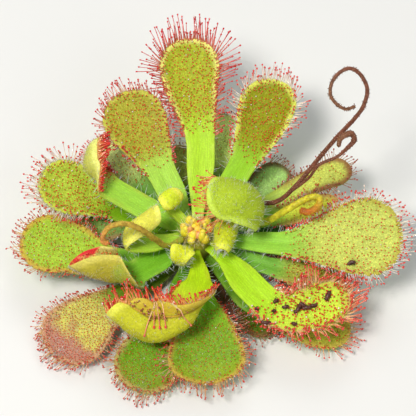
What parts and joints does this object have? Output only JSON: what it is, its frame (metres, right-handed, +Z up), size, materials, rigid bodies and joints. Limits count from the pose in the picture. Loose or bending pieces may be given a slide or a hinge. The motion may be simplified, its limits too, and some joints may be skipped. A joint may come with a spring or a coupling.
{
  "type": "sundew plant",
  "caption": "Rosette of spoon-shaped sundew leaves with stalked glands, young rolled leaves and flower stalks on a short stem.",
  "frame": {"origin": "centre of the stem's cut foot, on the surface that the plant rests on", "axes": "+Z up out of the rosette, +X to the plant's right, -Y towards its front leaves"},
  "size_m": [0.07, 0.0673, 0.0334],
  "materials": {
    "leaf_green": "satin",
    "leaf_young": "satin",
    "leaf_dead": "matte",
    "stem_crown": "matte",
    "scape_green": "satin",
    "scape_brown": "matte"
  },
  "bodies": {
    "root": {"stem": "stem_crown", "scape_old": "scape_brown", "scape_young_left": "scape_green", "scape_young_right": "scape_green", "leaf_back_tall": "leaf_green", "leaf_back_left": "leaf_green", "leaf_back_right": "leaf_green", "leaf_right_long": "leaf_green", "leaf_prey": "leaf_green", "leaf_front_folded": "leaf_green", "leaf_left_rolled": "leaf_green", "leaf_left_folded": "leaf_green", "leaf_left_upper": "leaf_green", "leaf_left_lower": "leaf_green", "leaf_front": "leaf_green", "leaf_right_back": "leaf_green", "leaf_right_front": "leaf_green", "leaf_front_left": "leaf_green", "leaf_front_low": "leaf_green", "leaf_prey_under": "leaf_green", "leaf_front_right_low": "leaf_green", "leaf_right_low": "leaf_green", "leaf_right_back_low": "leaf_green", "leaf_back_right_cupped": "leaf_green", "leaf_back_low": "leaf_green", "leaf_back_small": "leaf_green", "leaf_back_left_low": "leaf_green", "leaf_left_low": "leaf_green", "leaf_dead_left": "leaf_dead", "leaf_dead_front": "leaf_dead", "leaf_dead_right": "leaf_dead", "young_back_right": "leaf_young", "young_right": "leaf_young", "young_back_left": "leaf_young", "young_left": "leaf_young", "young_front": "leaf_young"}
  },
  "joints": []
}
